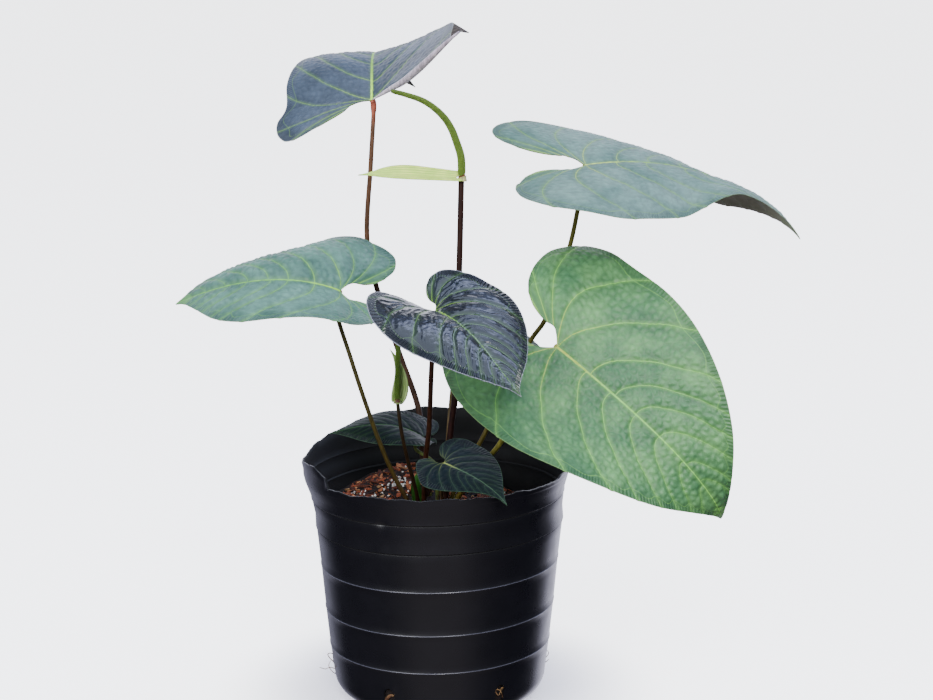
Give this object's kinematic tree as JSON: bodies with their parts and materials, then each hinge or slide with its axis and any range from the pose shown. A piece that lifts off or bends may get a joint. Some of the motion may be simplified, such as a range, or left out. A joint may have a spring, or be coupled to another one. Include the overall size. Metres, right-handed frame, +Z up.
{
  "type": "potted anthurium",
  "caption": "Anthurium with veined heart-shaped leaves on long stalks and slim green flower spikes, growing in bark mix in a round nursery pot.",
  "frame": {"origin": "centre of the pot's flat base, where it rests on the surface", "axes": "+Z up, +X to the right and +Y away from the viewer of the front; the pot's axis is along Z"},
  "size_m": [0.3902, 0.3011, 0.4144],
  "materials": {
    "pot_black": "satin black blown plastic",
    "bark": "rough red-brown bark chips",
    "stem": "rough corky stem",
    "leaf_green": "leathery blade with a soft sheen",
    "leaf_dark": "dark glossy leathery blade",
    "petiole": "smooth olive-brown stalk",
    "peduncle": "smooth dark maroon stalk",
    "spathe": "thin pale green bract",
    "spadix": "waxy green spike"
  },
  "bodies": {
    "root": {"pot": "pot_black", "bark_mix": "bark", "stem_base": "stem", "leaf_top": "leaf_green", "petiole_top": "petiole", "leaf_left": "leaf_green", "petiole_left": "petiole", "leaf_dark": "leaf_dark", "petiole_dark": "petiole", "leaf_right": "leaf_green", "petiole_right": "petiole", "leaf_large": "leaf_green", "petiole_large": "petiole", "leaf_low_back": "leaf_dark", "petiole_low_back": "petiole", "leaf_low_front": "leaf_dark", "petiole_low_front": "petiole", "leaf_middle": "leaf_dark", "petiole_middle": "petiole", "peduncle_tall": "peduncle", "spathe_tall": "spathe", "spadix_tall": "spadix", "peduncle_short": "peduncle", "spathe_short": "spathe", "spadix_short": "spadix", "young_shoot": "leaf_dark"}
  },
  "joints": []
}
